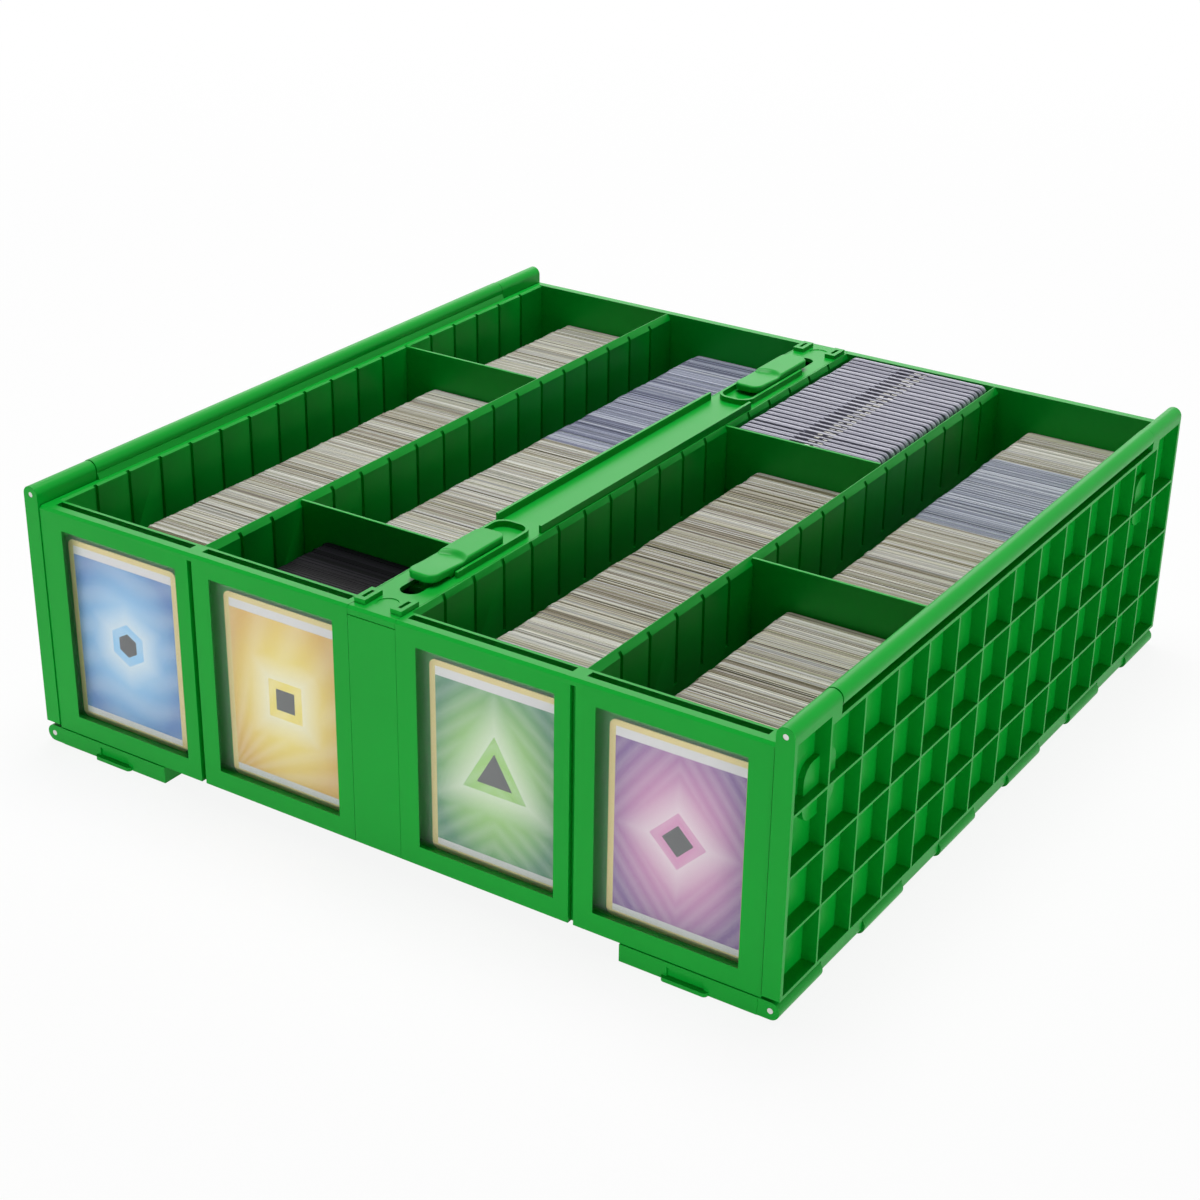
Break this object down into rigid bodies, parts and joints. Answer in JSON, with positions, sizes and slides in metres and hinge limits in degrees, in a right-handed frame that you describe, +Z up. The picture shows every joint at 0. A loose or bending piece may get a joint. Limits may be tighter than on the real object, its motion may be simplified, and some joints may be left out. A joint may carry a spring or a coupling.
{
  "type": "card storage bin",
  "caption": "Green moulded bin with rows for collectible cards, a windowed display front, sliding dividers, and hinged lids folded away beside and under the tub.",
  "frame": {"origin": "centre of the footprint, on the surface the bin stands on", "axes": "+X to the right along the display front, +Y from the front to the back, +Z up"},
  "size_m": [0.3844, 0.389, 0.127],
  "materials": {
    "green_moulding": "satin moulded polypropylene",
    "pin_steel": "bright drawn wire",
    "clear_pane": "clear glossy sheet",
    "printed_card": "coated printed card",
    "card_edges": "cut card edges",
    "violet_card_edges": "cut card edges",
    "blue_card_edges": "cut card edges",
    "black_sleeves": "matte sleeve film",
    "holder_plastic": "clear rigid holders, edge on"
  },
  "bodies": {
    "bin": {"tub_floor": "green_moulding", "back_panel": "green_moulding", "left_side_wall": "green_moulding", "left_row_wall": "green_moulding", "left_spine_wall": "green_moulding", "left_label_wall": "green_moulding", "right_side_wall": "green_moulding", "right_row_wall": "green_moulding", "right_spine_wall": "green_moulding", "right_label_wall": "green_moulding", "row_1_window_frame": "green_moulding", "row_2_window_frame": "green_moulding", "row_3_window_frame": "green_moulding", "row_4_window_frame": "green_moulding", "spine_cover": "green_moulding", "row_1_window_pane": "clear_pane", "row_2_window_pane": "clear_pane", "row_3_window_pane": "clear_pane", "row_4_window_pane": "clear_pane"},
    "front_latch": {"front_latch": "green_moulding"},
    "rear_latch": {"rear_latch": "green_moulding"},
    "right_leaf": {"right_lid_leaf": "green_moulding", "right_upper_hinge_pin": "pin_steel", "right_lower_hinge_pin": "pin_steel"},
    "right_flap": {"right_lid_flap": "green_moulding"},
    "left_leaf": {"left_lid_leaf": "green_moulding", "left_upper_hinge_pin": "pin_steel", "left_lower_hinge_pin": "pin_steel"},
    "left_flap": {"left_lid_flap": "green_moulding"},
    "row_1_divider": {"row_1_divider": "green_moulding"},
    "row_1_display_card": {"row_1_display_card": "printed_card"},
    "row_2_divider": {"row_2_divider": "green_moulding"},
    "row_2_display_card": {"row_2_display_card": "printed_card"},
    "row_3_divider": {"row_3_divider": "green_moulding"},
    "row_3_display_card": {"row_3_display_card": "printed_card"},
    "row_4_divider": {"row_4_divider": "green_moulding"},
    "row_4_display_card": {"row_4_display_card": "printed_card"},
    "row_1_front_cards": {"row_1_front_cards": "card_edges"},
    "row_1_rear_cards": {"row_1_rear_cards": "card_edges"},
    "row_2_sleeved_cards": {"row_2_sleeved_cards": "black_sleeves"},
    "row_2_cards": {"row_2_middle_cards": "card_edges", "row_2_rear_cards": "violet_card_edges"},
    "row_3_front_cards": {"row_3_front_cards": "card_edges"},
    "row_3_card_holders": {"row_3_card_holders": "holder_plastic"},
    "row_4_front_cards": {"row_4_front_cards": "card_edges"},
    "row_4_cards": {"row_4_middle_cards": "card_edges", "row_4_blue_cards": "blue_card_edges", "row_4_rear_cards": "card_edges"}
  },
  "joints": [
    {"name": "right_leaf_hinge", "type": "hinge", "parent": "bin", "child": "right_leaf", "pos_m": [0.188, 0, 0.1228], "axis": [0, 1, 0], "range_deg": [-270, 0]},
    {"name": "right_flap_hinge", "type": "hinge", "parent": "right_leaf", "child": "right_flap", "pos_m": [0.188, 0, 0.004], "axis": [0, 1, 0], "range_deg": [-90, 0]},
    {"name": "left_leaf_hinge", "type": "hinge", "parent": "bin", "child": "left_leaf", "pos_m": [-0.188, 0, 0.1228], "axis": [0, -1, 0], "range_deg": [-270, 0]},
    {"name": "left_flap_hinge", "type": "hinge", "parent": "left_leaf", "child": "left_flap", "pos_m": [-0.188, 0, 0.004], "axis": [0, -1, 0], "range_deg": [-90, 0]},
    {"name": "front_latch_slide", "type": "slide", "parent": "bin", "child": "front_latch", "axis": [0, 1, 0], "range_m": [-0.012, 0.012]},
    {"name": "rear_latch_slide", "type": "slide", "parent": "bin", "child": "rear_latch", "axis": [0, -1, 0], "range_m": [-0.012, 0.012]},
    {"name": "row_1_divider_lift", "type": "slide", "parent": "bin", "child": "row_1_divider", "axis": [0, 0, 1], "range_m": [0, 0.115]},
    {"name": "row_1_display_card_lift", "type": "slide", "parent": "bin", "child": "row_1_display_card", "axis": [0, 0, 1], "range_m": [0, 0.115]},
    {"name": "row_2_divider_lift", "type": "slide", "parent": "bin", "child": "row_2_divider", "axis": [0, 0, 1], "range_m": [0, 0.115]},
    {"name": "row_2_display_card_lift", "type": "slide", "parent": "bin", "child": "row_2_display_card", "axis": [0, 0, 1], "range_m": [0, 0.115]},
    {"name": "row_3_divider_lift", "type": "slide", "parent": "bin", "child": "row_3_divider", "axis": [0, 0, 1], "range_m": [0, 0.115]},
    {"name": "row_3_display_card_lift", "type": "slide", "parent": "bin", "child": "row_3_display_card", "axis": [0, 0, 1], "range_m": [0, 0.115]},
    {"name": "row_4_divider_lift", "type": "slide", "parent": "bin", "child": "row_4_divider", "axis": [0, 0, 1], "range_m": [0, 0.115]},
    {"name": "row_4_display_card_lift", "type": "slide", "parent": "bin", "child": "row_4_display_card", "axis": [0, 0, 1], "range_m": [0, 0.115]},
    {"name": "row_1_front_cards_lift", "type": "slide", "parent": "bin", "child": "row_1_front_cards", "axis": [0, 0, 1], "range_m": [0, 0.115]},
    {"name": "row_1_rear_cards_lift", "type": "slide", "parent": "bin", "child": "row_1_rear_cards", "axis": [0, 0, 1], "range_m": [0, 0.115]},
    {"name": "row_2_sleeved_cards_lift", "type": "slide", "parent": "bin", "child": "row_2_sleeved_cards", "axis": [0, 0, 1], "range_m": [0, 0.115]},
    {"name": "row_2_cards_lift", "type": "slide", "parent": "bin", "child": "row_2_cards", "axis": [0, 0, 1], "range_m": [0, 0.115]},
    {"name": "row_3_front_cards_lift", "type": "slide", "parent": "bin", "child": "row_3_front_cards", "axis": [0, 0, 1], "range_m": [0, 0.115]},
    {"name": "row_3_card_holders_lift", "type": "slide", "parent": "bin", "child": "row_3_card_holders", "axis": [0, 0, 1], "range_m": [0, 0.115]},
    {"name": "row_4_front_cards_lift", "type": "slide", "parent": "bin", "child": "row_4_front_cards", "axis": [0, 0, 1], "range_m": [0, 0.115]},
    {"name": "row_4_cards_lift", "type": "slide", "parent": "bin", "child": "row_4_cards", "axis": [0, 0, 1], "range_m": [0, 0.115]}
  ]
}
